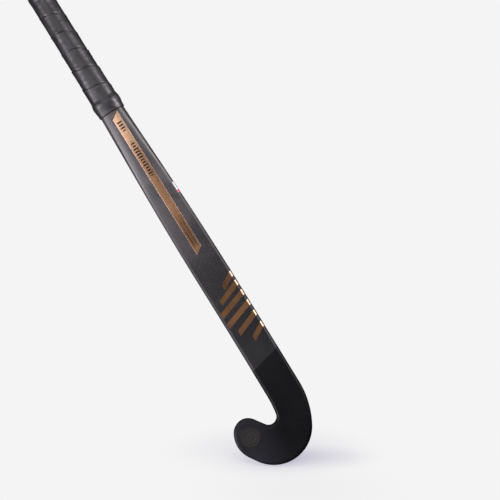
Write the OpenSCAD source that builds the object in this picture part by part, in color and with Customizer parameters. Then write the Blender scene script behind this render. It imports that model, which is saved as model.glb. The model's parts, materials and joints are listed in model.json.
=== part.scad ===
// Field hockey stick: a hollow laminate shaft and hooked head over two inner tubes and a foam core,
// with a wound grip, a rubber butt cap and thin surface films. Each piece is its own solid.
//
// The stick is laid out flat, then bent. In the flat layout p runs along the stick from the lowest
// point of the head, x runs across it (heel at +x, toe at -x) and q runs through it (playing face
// at -q, back at +q). bend() gives the stick its bow and hangs it from the butt end at the origin.

/* [Stick] */
// Length along the stick, from the head's lowest point to the butt end
stick_len = 927; // [890:1:965]
// Distance between the parallel edges of the blade
blade_w = 47; // [44:0.5:50]
// Width of the bare handle under the grip
handle_w = 28; // [27:0.5:31]
// Thickness of the head
head_t = 20; // [18:0.5:22]
// Thickness of the shaft below the grip
shaft_t = 22.5; // [21:0.5:25]
// Thickness of the bare handle
handle_t = 27; // [26:0.5:29]
// How far the edges of the face fall back from its middle, under the grip
crown = 4.5; // [3:0.5:6]
// Wall of the outer laminate
wall = 2.4; // [2:0.1:3]

/* [Bow] */
// Height at which the head ends and the bow starts
bow_start = 140; // [138:1:150]
// Height at which the bow ends and the straight handle starts
bow_end = 300; // [280:5:340]
// Angle between the head and the handle
bow_angle = 8.6; // [4:0.1:9]

/* [Head] */
// How far the head's lowest point lies to the toe side of the shaft axis
hook_x = 37; // [36:0.1:39]
// Radius of the bottom of the hook
hook_r = 52; // [50:0.5:54]
// Height at which the heel edge starts to curve
heel_p = 84; // [84:1:92]
// Outermost point of the toe, from the shaft axis
toe_reach = 92.9; // [92:0.1:95]
// Centre height of the toe's tip radius
toe_p = 61; // [60:0.5:64]
// Radius of the toe's tip
toe_r = 19.6; // [19:0.1:20.2]
// Radius of the notch between the toe and the shaft
notch_r = 11; // [10:0.5:12]

/* [Grip] */
// Height of the lower end of the grip's finishing band
grip_lo = 523; // [510:1:560]
// Length of tape covered by one turn of the grip
grip_pitch = 27; // [22:1:32]
// Thickness of the grip tape
grip_t = 1.5; // [1.2:0.1:2]
// How far the overlapping edge of each turn stands up
grip_lip = 0.8; // [0.4:0.1:1.2]

/* [Butt] */
// Radius of the butt cap's rim
cap_r = 17.2; // [17:0.1:19]
// Length of the butt cap outside the handle
cap_len = 10; // [8:0.5:14]
// Radius of the cap's spigot inside the butt plug
spigot_r = 7.5; // [6:0.5:8]
// Length of the butt plug
plug_len = 34; // [28:1:40]

/* [Films] */
// Thickness of the foils, labels and badges
film_t = 0.2; // [0.15:0.05:0.4]
// Width of the foil strips on the face and the back
foil_w = 11.6; // [8:0.2:14]
// Number of stripes in the face pattern
stripes = 6; // [3:1:7]
// Number of lozenges on the back
lozenges = 7; // [3:1:8]

/* [Hidden] */

// Bonded pieces stand this far apart where they don't share a surface
gap = 0.1;
half_w = blade_w / 2;
// Centre of the notch: its distance from the shaft's toe edge, and its height
notch_x = 13.1;
notch_p = 65.8;
// Height at which the curve out of the notch meets the shaft's straight edge
notch_top = 90.8;
// The toe's tip radius: its centre's distance in from the toe, and where it starts
toe_inset = 21.9;
tip_turn = 97;
// The toe's outermost point lies this far below the tip radius's centre
side_drop = 8.2;
// Share of the way from the toe's side to the hook that is curved
side_share = 0.7;
// The first height above the hook at which the section is straight across
blade_lo = heel_p + 8;

// The shaft widens from the handle to the blade between these heights
taper_lo = 260;
taper_hi = 700;
// The shaft thickens into the handle from this height, up to taper_hi
thick_lo = 400;
// The flat face grows into the handle's crowned one between these heights
crown_lo = 280;
crown_hi = 520;
// The dome of the head's back fades into flat facets between these heights
dome_lo = 110;
dome_hi = 200;
// Share of dome where the head joins the shaft
dome_join = 0.6;
bow_r = (bow_end - bow_start) / bow_angle * 180 / PI;
flat_z = bow_end - stick_len;

// Radius of the rim of the playing face
edge_r = 4;
// Sizes of a section: with a faceted back, with a domed back, and on the handle
edge_radii = [edge_r, edge_r, 10];
side_sizes = [1, -1, 3];
crease_sizes = [foil_w / 2, foil_w / 2, handle_w / 5];
side_radii = [5, 8, 9];
crease_radii = [1.5, 15, 5];
// Least height of the back above its sides, and how far it falls at the toe's very tip
least_back = 1.5;
tip_fall = 1;
// The corners keep their full radius on sections of at least this half width, but none is wider
// than corner_share of it. The crease is no wider than crease_share of it.
full_r_half = 14;
corner_share = 0.7;
crease_share = 0.3;
least_r = 0.6;
// Points on each rounded corner of a section, and on each half of its face
corner_steps = 4;
face_steps = 2;

core_top = 103;
tube_lo = 105;
tube_wall = 1.2;
// Radius of the tubes' edges where they stand side by side
web_r = 1.8;
foam_len = 140;

cap_p = stick_len - cap_len;
plug_p = cap_p - plug_len;
spigot_len = plug_len - 4;
cap_bevel = 0.6;
cap_round = 1.5;

// Thickness of the grip's adhesive liner
liner_t = 0.3;
// The tape starts inside the finishing band
tape_lo = grip_lo + 9;
band_hi = grip_lo + 22;
// The finishing band: how far its lower edge stands out and how high it is rounded, how much it
// swells there, where it climbs over the tape, and where and how much its upper end thins out
band_foot = 0.5;
band_round = 1.3;
band_swell = 1;
band_climb = [2, 15.5];
band_fall = [16, 22];
band_thin = 0.9;
// Height of the lowest seam, in the middle of the face
first_seam = grip_lo + 14;
// The tape lies smooth this far from both ends, without a lip
smooth_end = 4;
// The next turn covers this last share of each turn
lap_share = 0.15;
tape_rows = 66;

// Films stand this far off the skin
film_lift = 0.05;
// The matt film on the playing face: its thickness, the middle and rise of its slanted upper end,
// and its distance in from the face's rounded rim
touch_t = 0.25;
touch_p = 133;
touch_rise = 12;
touch_inset = 0.3;
disc_r = 13.4;
disc_at = [-71.5, 55.5];
// The face's foil band: its ends, its middle and the slant of its ends
face_band = [306, grip_lo - 6];
face_band_x = 1.8;
face_band_rise = 8;
// The face stripes: the lowest one's height, their spacing, width, slant, where the shortest
// starts, how much longer the middle ones are, and where all end past the heel edge
stripe_lo = 170;
stripe_pitch = 16;
stripe_w = 8;
stripe_rise = 18;
stripe_start = 10;
stripe_swell = 30;
wrap_s = 33;
// The strips down the middle of the back: half width, and the ends of each
strip_half = foil_w / 2 - 0.3;
back_strip = [196, 500];
back_band = [226, 417];
back_band_rise = 9;
lozenge_lo = 88;
lozenge_pitch = 15;
lozenge_len = 10;
lozenge_rise = 5;
// Two columns of bars: number of rows, lowest height, spacing, length, and the ends of each column
bar_rows = 8;
bar_lo = 463;
bar_pitch = 5.4;
bar_len = 3.6;
bar_ends = [[-4.6, -2.6], [0, 3.4]];
// The badge on the toe's back, between these distances from the middle of the head
badge_ends = [-8.5, 3.5];
// The label on the heel edge, and the tab below it
label_ends = [390.6, 403];
tab_ends = [386.5, 390.4];
label_s = [19.5, 32];

// ---- Sizes along the stick --------------------------------------------------------------------

// 0 below lo, 1 above hi, with a smooth rise between them
function ease(v, lo, hi) = (1 - cos(180 * min(1, max(0, (v - lo) / (hi - lo))))) / 2;
// The value of a section size [faceted, domed, handle] for these shares of dome and handle
function sized(v, dome, handle) = mix(mix(v[0], v[1], dome), v[2], handle);
// Half the width of the bare stick at height p
function half_width(p) = half_w + (handle_w - blade_w) / 2 * ease(p, taper_lo, taper_hi);
// Half the thickness of the bare stick at height p
function half_thick(p) = (head_t + (shaft_t - head_t) * ease(p, bow_start, bow_end)
    + (handle_t - shaft_t) * ease(p, thick_lo, taper_hi)) / 2;

// ---- The flat layout's place in the stick's own frame ------------------------------------------

function bend(x, p, q) =
    let (turn = bow_angle * min(1, max(0, (bow_end - p) / (bow_end - bow_start))),
         below = max(0, bow_start - p),
         above = max(0, p - bow_end))
    [x,
     -bow_r * (1 - cos(turn)) - below * sin(turn) + q * cos(turn),
     flat_z + above - bow_r * sin(turn) - below * cos(turn) - q * sin(turn)];

// Places what is drawn on x and p, with z standing out of the playing face, on the flat head
module on_face() translate(bend(0, 0, -head_t / 2)) rotate([90 - bow_angle, 0, 0]) children();

// ---- Outline of the head -----------------------------------------------------------------------

// Radius of the arc that touches a straight edge and holds a circle of radius r inside it. The
// circle's centre is d from the edge, and h along it from where the arc starts.
function blend_r(d, h, r) = (d * d + h * h - r * r) / (2 * (d - r));
function along(angle) = [cos(angle), sin(angle)];
function angle_to(a, b) = atan2(b[1] - a[1], b[0] - a[0]);

hook_c = [-hook_x, hook_r];
heel_r = blend_r(half_w + hook_x, heel_p - hook_r, hook_r);
heel_c = [half_w - heel_r, heel_p];
heel_turn = angle_to(heel_c, hook_c);
notch_c = [-half_w - notch_x, notch_p];
fillet_r = blend_r(-half_w - notch_c[0], notch_top - notch_c[1], notch_r);
fillet_c = [-half_w - fillet_r, notch_top];
fillet_turn = angle_to(fillet_c, notch_c);
toe_c = [toe_inset - toe_reach, toe_p];
// The toe's outer side, between the tip and the bottom of the hook
side_p = toe_p - side_drop;
side_r = blend_r(toe_c[0] + toe_reach, toe_c[1] - side_p, toe_r);
side_c = [-toe_reach + side_r, side_p];
side_turn = angle_to(side_c, toe_c);
side_end = angle_to(hook_c, side_c)
    + acos((hook_r - side_r) / norm(side_c - hook_c));
// Straight line from the notch to the toe's tip
toe_line = angle_to(toe_c, notch_c) + acos((toe_r + notch_r) / norm(notch_c - toe_c));

function arc_point(c, r, angle) = c + r * along(angle);
function mix(a, b, t) = a + (b - a) * t;

// The outer and the inner edge of the head, from the toe's tip (t = 0) to the top of the head
// (t = 5), each standing out by grow from the true edge
function outer_edge(t, grow) =
    t < 1 ? arc_point(toe_c, toe_r + grow, mix(tip_turn, side_turn, t)) :
    t < 1 + side_share ?
        arc_point(side_c, side_r + grow, mix(side_turn, side_end, (t - 1) / side_share)) :
    t < 2 ? mix(arc_point(hook_c, hook_r + grow, side_end),
                arc_point(side_c, side_r + grow, side_end), (2 - t) / (1 - side_share)) :
    t < 3 ? arc_point(hook_c, hook_r + grow, mix(side_end, 270, t - 2)) :
    t < 4 ? arc_point(hook_c, hook_r + grow, mix(270, 360 + heel_turn, t - 3)) :
    arc_point(heel_c, heel_r + grow, mix(heel_turn, 0, t - 4));
function inner_edge(t, grow) =
    t < 1 ? arc_point(toe_c, toe_r + grow, mix(tip_turn, toe_line, t)) :
    t < 2 ? mix(arc_point(toe_c, toe_r + grow, toe_line),
                arc_point(notch_c, notch_r - grow, toe_line + 180), t - 1) :
    t < 3 ? arc_point(notch_c, notch_r - grow, mix(toe_line + 180, 270, t - 2)) :
    t < 4 ? arc_point(notch_c, notch_r - grow, mix(270, 360 + fillet_turn, t - 3)) :
    arc_point(fillet_c, fillet_r - grow, mix(fillet_turn, 0, t - 4));

// ---- Stations ----------------------------------------------------------------------------------

// A station is [middle of the section, direction from toe to heel, half width, face depth, back
// height, share of dome in the back, share of handle in the shape, crown of the face]

function head_station(t, grow) =
    let (a = outer_edge(t, grow), b = inner_edge(t, grow), half = norm(a - b) / 2,
         depth = head_t / 2 + grow,
         rim = edge_r + grow,
         tip = tip_depth(t, toe_r + grow),
         face = depth - rim + round_over(tip, rim),
         back = round_over(tip, depth + tip_fall) - tip_fall,
         dome = mix(1, dome_join, ease(t, 4, 5)))
    [(a + b) / 2, (a - b) / (2 * half), half, face, back, dome, 0, 0];
// How far in from the toe's tip a section lies
function tip_depth(t, r) =
    r * (1 - cos((side_turn - tip_turn) * min(1, t))) + r * max(0, t - 1);
// Height of a quarter-round edge of radius r at distance d in from its side
function round_over(d, r) = d >= r ? r : sqrt(r * r - (r - d) * (r - d));

function shaft_station(p) =
    [[0, p], [1, 0], half_width(p), half_thick(p), half_thick(p),
     dome_join * (1 - ease(p, dome_lo, dome_hi)), ease(p, thick_lo, taper_hi),
     crown * ease(p, crown_lo, crown_hi)];

// ---- Sections ----------------------------------------------------------------------------------

function unit(v) = v / norm(v);
// Rounds corner b, between its neighbours a and c, with radius r
function rounded(a, b, c, r) =
    let (u = unit(a - b), v = unit(c - b), half = acos(u * v) / 2,
         centre = b + unit(u + v) * r / sin(half),
         first = b + u * r / tan(half) - centre,
         start = atan2(first[1], first[0]),
         sweep = 180 - 2 * half)
    [for (i = [0:corner_steps]) centre + r * along(start + sweep * i / corner_steps)];
// Corner sizes of a section, moved out by grow: [half width, face, back, side height, crease half
// width, face radius, side radius, crease radius]
function section_sizes(s, grow) =
    let (half = s[2], dome = s[5], handle = s[6],
         side = min(s[4] - least_back, sized(side_sizes, dome, handle)),
         crease = min(sized(crease_sizes, dome, handle), half * crease_share),
         slope = atan2(half - crease, s[4] - side),
         lean = grow * tan(slope / 2),
         crest = grow * tan((90 - slope) / 2))
    [half + grow, s[3] + grow, s[4] + grow, side + lean, crease + crest,
     fit_r(sized(edge_radii, dome, handle), grow, half),
     fit_r(sized(side_radii, dome, handle), grow, half),
     fit_r(sized(crease_radii, dome, handle), grow, half)];
// A corner radius moved out by grow, held to what a section of this half width has room for
function fit_r(r, grow, half) =
    max(least_r, min(1, half / full_r_half) * min(r, half * corner_share) + grow);

// A section's point after its face is crowned: the shift grows to the face's edges, and fades out
// down the sides
function crowned(s, v) =
    [v[0], v[1] + s[7] * min(1, pow(v[0] / s[2], 2)) * sin(90 * min(1, max(0, -v[1] / s[3])))];
// Half of a section, from the middle of the face round the heel to the middle of the back
function half_ring(s, grow) =
    let (v = section_sizes(s, grow),
         rim = rounded([-v[0], -v[1]], [v[0], -v[1]], [v[0], v[3]], v[5]),
         flank = rounded([v[0], -v[1]], [v[0], v[3]], [v[4], v[2]], v[6]),
         ridge = rounded([v[0], v[3]], [v[4], v[2]], [-v[4], v[2]], v[7]),
         points = concat(face_points([0, -v[1]], rim[0]), rim, flank, ridge, [[0, v[2]]]))
    [for (w = points) crowned(s, w)];
// Points from a to just before b
function face_points(a, b) = [for (i = [0:face_steps - 1]) mix(a, b, i / face_steps)];
function section(s, grow) =
    let (half = half_ring(s, grow))
    concat(half, [for (i = [len(half) - 2:-1:1]) [-half[i][0], half[i][1]]]);
// Half of a section, for one of the two tubes, with its flat side at x = web
function half_section(s, grow, web, hand) =
    let (v = section_sizes(s, grow), r = max(least_r, web_r + grow),
         a = rounded([web, v[2]], [web, -v[1]], [v[0], -v[1]], r),
         b = rounded([web, -v[1]], [v[0], -v[1]], [v[0], v[3]], v[5]),
         points = concat([for (i = [0:corner_steps - 1]) a[i]], face_points(a[corner_steps], b[0]),
             b, rounded([v[0], -v[1]], [v[0], v[3]], [v[4], v[2]], v[6]),
             rounded([v[0], v[3]], [v[4], v[2]], [web, v[2]], v[7]),
             rounded([v[4], v[2]], [web, v[2]], [web, -v[1]], r)),
         right = [for (w = points) crowned(s, w)], last = len(right) - 1)
    hand > 0 ? right : [for (i = [last:-1:0]) [-right[i][0], right[i][1]]];

// A section's points at their place in the stick's frame
function placed(s, points) = [for (v = points)
    let (m = s[0] + s[1] * v[0]) bend(m[0], m[1], v[1])];

// ---- Solids from rows of points ----------------------------------------------------------------

// Triangles between rows first to last of n points each
function wall_faces(n, first, last, inward = false) =
    [for (i = [first:last - 1], j = [0:n - 1])
        let (a = i * n + j, b = a + n, d = i * n + (j + 1) % n, c = d + n)
        each inward ? [[a, c, b], [a, d, c]] : [[a, b, c], [a, c, d]]];
// Triangles of the flat ring between row outer and row inner
function rim_faces(n, outer, inner, up = true) =
    [for (j = [0:n - 1])
        let (a = outer * n + j, d = outer * n + (j + 1) % n,
             b = inner * n + j, c = inner * n + (j + 1) % n)
        each up ? [[a, b, c], [a, c, d]] : [[a, c, b], [a, d, c]]];
function cap_face(n, row, up = true) = up ? [for (j = [n - 1:-1:0]) row * n + j]
    : [for (j = [0:n - 1]) row * n + j];

module solid_loft(rows) {
    n = len(rows[0]);
    last = len(rows) - 1;
    polyhedron([each for (row = rows) row],
        concat(wall_faces(n, 0, last), [cap_face(n, 0, false), cap_face(n, last)]));
}
// A tube between two sets of rows, open at both ends
module sleeve(outer, inner) {
    n = len(outer[0]);
    a = len(outer) - 1;
    b = len(outer);
    c = b + len(inner) - 1;
    polyhedron([each for (row = outer) row, each for (row = inner) row],
        concat(wall_faces(n, 0, a), wall_faces(n, b, c, true),
               rim_faces(n, a, c), rim_faces(n, 0, b, false)));
}
// The same, closed at its first end
module pocket(outer, inner) {
    n = len(outer[0]);
    a = len(outer) - 1;
    b = len(outer);
    c = b + len(inner) - 1;
    polyhedron([each for (row = outer) row, each for (row = inner) row],
        concat(wall_faces(n, 0, a), wall_faces(n, b, c, true), rim_faces(n, a, c),
               [cap_face(n, 0, false), cap_face(n, b)]));
}

// ---- Places along the stick --------------------------------------------------------------------

head_steps = [
    for (t = [0.07, 0.18, 0.3, 0.45, 0.6, 0.8]) t,
    for (i = [0:5]) 1 + i / 6,
    for (i = [0:17]) 2 + i / 6
];
bow_steps = [for (i = [0:10]) mix(bow_start, bow_end, i / 10)];
grip_steps = concat([grip_lo], [for (i = [0:6]) mix(tape_lo, cap_p, i / 6)]);
shaft_steps = concat([blade_lo, core_top, tube_lo], bow_steps,
    [for (i = [1:5]) mix(bow_end, grip_lo, i / 6)], grip_steps);
function steps_between(lo, hi) = [for (p = shaft_steps) if (p >= lo && p <= hi) p];
// Rows of a section that follows the bare stick, moved out by grow
function shaft_rows(steps, grow) =
    [for (p = steps) let (s = shaft_station(p)) placed(s, section(s, grow))];
function head_rows(grow) =
    [for (t = head_steps) let (s = head_station(t, grow)) placed(s, section(s, 0))];

// ---- The outer skin, measured round its section -------------------------------------------------

// Half the way round a section, as [distance from the middle of the face, x, q] for each of its
// points on the heel side, with the x and q of a section that stands lift further out
function half_round(station, lift) =
    let (flat = half_ring(station, 0), out = half_ring(station, lift), last = len(flat) - 1,
         run = [for (i = 0, d = 0; i <= last;
                     i = i + 1, d = i > last ? d : d + norm(flat[i] - flat[i - 1])) d])
    [for (i = [0:last]) [run[i], out[i][0], out[i][1]]];
// The point on the skin at distance s from the middle of the face, or of the back, standing lift
// off it. s rises anticlockwise round the stick as seen from the butt: to the heel on the face,
// and to the toe on the back.
function skin(station, s, lift, back) =
    let (table = half_round(station, lift),
         run = back ? table[len(table) - 1][0] - abs(s) : abs(s),
         x = lookup(run, [for (row = table) [row[0], row[1]]]),
         q = lookup(run, [for (row = table) [row[0], row[2]]]))
    placed(station, [[(back ? -1 : 1) * sign(s) * x, q]])[0];

// A thin film on the skin. spots: rows of [place, s], where station_of gives the place's station
module film(spots, back = false, lift = film_lift, station_of = function(p) shaft_station(p)) {
    rows = len(spots);
    cols = len(spots[0]);
    n = rows * cols;
    points = [for (up = [lift, lift + film_t], row = spots, spot = row)
        skin(station_of(spot[0]), spot[1], up, back)];
    top = [for (i = [0:rows - 2], j = [0:cols - 2]) let (a = n + i * cols + j)
        each quad(a, a + cols, a + cols + 1, a + 1)];
    under = [for (f = top) [f[2] - n, f[1] - n, f[0] - n]];
    ends = [for (j = [0:cols - 2]) let (far = (rows - 1) * cols + j)
        each concat(quad(j, j + n, j + n + 1, j + 1), quad(far, far + 1, far + n + 1, far + n))];
    sides = [for (i = [0:rows - 2]) let (a = i * cols, b = a + cols - 1)
        each concat(quad(a, a + cols, a + cols + n, a + n),
                    quad(b, b + n, b + n + cols, b + cols))];
    polyhedron(points, concat(top, under, ends, sides));
}
function quad(a, b, c, d) = [[a, b, c], [a, c, d]];
// A film from height lo to hi, between distances a and b, with ends that rise towards b
module strip(lo, hi, a, b, rise = 0, back = false, lift = film_lift, steps = 6, across = 2)
    film([for (i = [0:steps]) [for (j = [0:across])
            [mix(lo, hi, i / steps) + rise * (j / across - 0.5), mix(a, b, j / across)]]],
         back, lift);

// ---- Structure ---------------------------------------------------------------------------------

module laminate_shell() color([0.17, 0.17, 0.19])
    pocket(concat(head_rows(0), shaft_rows(shaft_steps, 0)),
           concat(head_rows(-wall), shaft_rows(shaft_steps, -wall)));

module head_core() color([0.85, 0.78, 0.55])
    solid_loft(concat(head_rows(-wall - gap), shaft_rows([blade_lo, core_top], -wall - gap)));

// hand: 1 for the heel side, -1 for the toe side
function tube_rows(steps, inset, hand) = [for (p = steps) let (s = shaft_station(p))
    placed(s, half_section(s, -wall - gap - inset, gap / 2 + inset, hand))];
module inner_tube(hand) {
    steps = steps_between(tube_lo, plug_p - 1);
    sleeve(tube_rows(steps, 0, hand), tube_rows(steps, tube_wall, hand));
}
module tube_heel_side() color([0.25, 0.25, 0.27]) inner_tube(1);
module tube_toe_side() color([0.28, 0.28, 0.30]) inner_tube(-1);

module damping_foam(hand)
    solid_loft(tube_rows(steps_between(tube_lo, tube_lo + foam_len), tube_wall + gap, hand));
module foam_heel_side() color([0.93, 0.90, 0.78]) damping_foam(1);
module foam_toe_side() color([0.93, 0.90, 0.78]) damping_foam(-1);

// ---- Butt --------------------------------------------------------------------------------------

module butt_plug() color([0.55, 0.55, 0.58])
    translate([0, 0, -cap_len - plug_len]) linear_extrude(plug_len) difference() {
        polygon(section(shaft_station(cap_p), -wall - gap));
        circle(spigot_r + gap / 5, $fn = 96);
    }

module butt_cap() color([0.10, 0.10, 0.11])
    rotate_extrude($fn = 128) polygon(concat(
        [[0, -cap_len - spigot_len], [spigot_r - 1, -cap_len - spigot_len],
         [spigot_r, -cap_len - spigot_len + 1], [spigot_r, -cap_len],
         [cap_r - cap_bevel, -cap_len], [cap_r, -cap_len + cap_bevel]],
        [for (a = [0:15:90]) [cap_r - cap_round, -cap_round] + cap_round * along(a)],
        [[0, 0]]));

// ---- Grip --------------------------------------------------------------------------------------

module grip_adhesive() color([0.75, 0.75, 0.70]) {
    steps = steps_between(tape_lo, cap_p);
    sleeve(shaft_rows(steps, liner_t), shaft_rows(steps, 0));
}

// Share of the lip's height at height p and angle a round the handle. Each turn of tape thins
// from its upper edge, which lies over the turn above, down to where the next turn covers it.
function lip_share(p, a) =
    let (turn = (p - first_seam) / grip_pitch + (a + 90) / 360, t = turn - floor(turn),
         lap = 1 - lap_share)
    p < band_hi + smooth_end || p > cap_p - smooth_end ? 0 :
    t < lap ? mix(lap_share, 1, t * t) : (1 - t) / lap_share * mix(lap_share, 1, lap * lap);
function taped_row(p) =
    let (s = shaft_station(p),
         base = section(s, liner_t + grip_t), out = section(s, liner_t + grip_t + grip_lip))
    placed(s, [for (i = [0:len(base) - 1])
        mix(base[i], out[i], lip_share(p, atan2(base[i][1], base[i][0])))]);
module grip_tape() color([0.13, 0.13, 0.14])
    sleeve([for (i = [0:tape_rows]) taped_row(mix(tape_lo, cap_p, i / tape_rows))],
           shaft_rows(steps_between(tape_lo, cap_p), liner_t));

// How far the finishing band stands off the bare stick, at height h above its lower end
function band_bulge(h) =
    band_foot + band_swell * sin(90 * min(1, h / band_round))
    + (grip_t + gap) * ease(h, band_climb[0], band_climb[1])
    - band_thin * ease(h, band_fall[0], band_fall[1]);
// A band of tape over the end of the grip
module grip_end_tape() color([0.11, 0.11, 0.12]) {
    over = liner_t + grip_t + gap;
    heights = [0, band_round / 2, band_round, 4, 8, 12, 16, 19, 21, band_hi - grip_lo];
    outer = [for (h = heights) each shaft_rows([grip_lo + h], band_bulge(h))];
    inner = concat(shaft_rows([grip_lo, tape_lo], 0),
                   shaft_rows([tape_lo - gap, band_hi], over));
    sleeve(outer, inner);
}

// ---- Films on the face -------------------------------------------------------------------------

// Outline of the flat playing face, cut off by a slanted line above the hook
function face_outline(inset) = concat(
    [[half_w - inset, touch_p + touch_rise / 2]],
    [for (i = [0:40]) outer_edge(5 - i / 8, -inset)],
    [for (i = [1:40]) inner_edge(i / 8, -inset)],
    [[-half_w + inset, touch_p - touch_rise / 2]]);

module touch_film() color([0.07, 0.07, 0.08])
    on_face() translate([0, 0, film_lift]) linear_extrude(touch_t) difference() {
        polygon(face_outline(edge_r + touch_inset));
        translate(disc_at) circle(disc_r + film_lift, $fn = 96);
    }
module face_toe_disc() color([0.20, 0.17, 0.14])
    on_face() translate([disc_at[0], disc_at[1], film_lift])
        cylinder(r = disc_r, h = touch_t, $fn = 96);

module face_foil_band() color([0.62, 0.45, 0.33])
    strip(face_band[0], face_band[1], face_band_x - foil_w / 2, face_band_x + foil_w / 2,
          rise = face_band_rise, steps = 8, across = 6);

module face_foil_stripes() color([0.66, 0.45, 0.30])
    for (i = [0:stripes - 1]) {
        lo = stripe_lo + stripe_pitch * i;
        start = stripe_start - stripe_swell * sin(180 * (i + 0.5) / stripes);
        strip(lo, lo + stripe_w, start, wrap_s, rise = stripe_rise, across = 12, steps = 1);
    }

// ---- Films on the back and the edge ------------------------------------------------------------

module back_centre_strip() color([0.22, 0.22, 0.23])
    strip(back_strip[0], back_strip[1], -strip_half, strip_half, back = true, steps = 20);

module back_foil_band() color([0.70, 0.52, 0.38])
    strip(back_band[0], back_band[1], -strip_half, strip_half, rise = back_band_rise,
          back = true, steps = 12, lift = 2 * film_lift + film_t);

module back_lozenges() color([0.60, 0.40, 0.27])
    for (i = [0:lozenges - 1]) {
        lo = lozenge_lo + lozenge_pitch * i;
        strip(lo, lo + lozenge_len, -strip_half, strip_half, rise = lozenge_rise, back = true,
              steps = 2, lift = 2 * film_lift);
    }

module back_spec_bars() color([0.72, 0.55, 0.42])
    for (i = [0:bar_rows - 1], ends = bar_ends) {
        lo = bar_lo + bar_pitch * i;
        strip(lo, lo + bar_len, ends[0], ends[1], back = true, steps = 1,
              lift = 2 * film_lift + film_t);
    }

module back_toe_badge() color([0.70, 0.50, 0.36])
    film([for (i = [2:6]) [for (j = [0:8]) [1 + i / 6, mix(badge_ends[0], badge_ends[1], j / 8)]]],
         back = true, lift = 2 * film_lift, station_of = function(t) head_station(t, 0));

module edge_label() color([0.88, 0.89, 0.92])
    strip(label_ends[0], label_ends[1], label_s[0], label_s[1], across = 12, steps = 1);
module edge_label_tab() color([0.75, 0.10, 0.20])
    strip(tab_ends[0], tab_ends[1], label_s[0], label_s[1], across = 12, steps = 1);

// ---- The stick ---------------------------------------------------------------------------------

laminate_shell();
tube_toe_side();
tube_heel_side();
foam_toe_side();
foam_heel_side();
head_core();
butt_plug();
butt_cap();
grip_adhesive();
grip_tape();
grip_end_tape();
touch_film();
face_toe_disc();
face_foil_band();
face_foil_stripes();
back_centre_strip();
back_foil_band();
back_lozenges();
back_spec_bars();
back_toe_badge();
edge_label();
edge_label_tab();
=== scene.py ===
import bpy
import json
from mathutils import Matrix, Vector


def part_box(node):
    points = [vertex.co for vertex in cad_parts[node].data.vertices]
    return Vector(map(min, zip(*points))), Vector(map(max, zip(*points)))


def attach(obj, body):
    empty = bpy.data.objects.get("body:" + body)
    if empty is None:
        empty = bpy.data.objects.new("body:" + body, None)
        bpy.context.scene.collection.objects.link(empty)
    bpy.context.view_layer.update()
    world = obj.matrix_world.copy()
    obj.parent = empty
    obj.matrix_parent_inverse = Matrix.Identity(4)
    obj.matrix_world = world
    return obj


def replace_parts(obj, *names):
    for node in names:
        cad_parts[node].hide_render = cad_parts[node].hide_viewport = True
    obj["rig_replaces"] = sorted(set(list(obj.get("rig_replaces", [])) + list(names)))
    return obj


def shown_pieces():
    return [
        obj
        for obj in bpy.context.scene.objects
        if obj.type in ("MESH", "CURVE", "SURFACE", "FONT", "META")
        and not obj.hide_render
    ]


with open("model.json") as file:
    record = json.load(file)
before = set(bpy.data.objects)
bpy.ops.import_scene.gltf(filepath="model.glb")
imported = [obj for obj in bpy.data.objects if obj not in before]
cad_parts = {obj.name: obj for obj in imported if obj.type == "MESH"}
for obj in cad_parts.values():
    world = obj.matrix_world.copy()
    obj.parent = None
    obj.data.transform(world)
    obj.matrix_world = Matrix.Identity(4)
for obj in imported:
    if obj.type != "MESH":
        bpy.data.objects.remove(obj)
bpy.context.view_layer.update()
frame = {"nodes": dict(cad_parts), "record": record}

# Looks of the field hockey stick, built round its CAD frame. The skin, the grip, the band and the
# films are rebuilt with finer meshes on the CAD's own shape; the hidden parts stay as they are.

import json
import math
from collections import namedtuple

import bmesh
import bpy
import numpy as np
from mathutils import Matrix, Vector

MM = 0.001

# ---- The stick's flat layout, as in the CAD source, in mm ---------------------------------------
# p runs along the stick from the head's lowest point, x across it (heel at +x) and q through it
# (playing face at -q). bend() gives the layout its bow and hangs it from the butt end.

STICK_LEN, CAP_LEN = 927, 10
BLADE_W, HANDLE_W = 47, 28
HEAD_T, SHAFT_T, HANDLE_T = 20, 22.5, 27
# The bow of the shaft: the heights it lies between, and its angle
BOW_START, BOW_END, BOW_ANGLE = 140, 300, 8.6
# The head's outline: the hook's circle, the top of the heel's curve and of the notch's fillet
HOOK_C, HOOK_R = (-37, 52), 52
HEEL_P, NOTCH_TOP = 84, 90.8
# The toe's reach and tip circle, the angle where the tip starts, and its outermost point's height
TOE_REACH, TOE_R, TOE_C = 92.9, 19.6, (-71, 61)
TIP_TURN, SIDE_P = 97, 52.8
NOTCH_C, NOTCH_R = (-36.6, 65.8), 11
# Share of the way from the toe's side to the hook that is curved
SIDE_SHARE = 0.7
# Height of the sides above the middle, and corner radii: with a faceted back, domed, on the handle
SIDES = (1, -1, 3)
EDGE_R, RIM_R = 4, 10
FLANK_RADII, RIDGE_RADII = (5, 8, 9), (1.5, 15, 5)
# Limits of a section's corners: least radius, the half width from which they are full, their share
# of a narrower half width, the crease's share of it, and the back's least height above its sides
LEAST_R, FULL_R_HALF, CORNER_SHARE, CREASE_SHARE, LEAST_BACK = 0.6, 14, 0.7, 0.3, 1.5
# Heights between which the shaft widens, thickens, gets its crowned face and loses its domed back
TAPER, THICKEN = (260, 700), (400, 700)
CROWN, CROWNED = 4.5, (280, 520)
DOME, DOME_JOIN = (110, 200), 0.6
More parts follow.
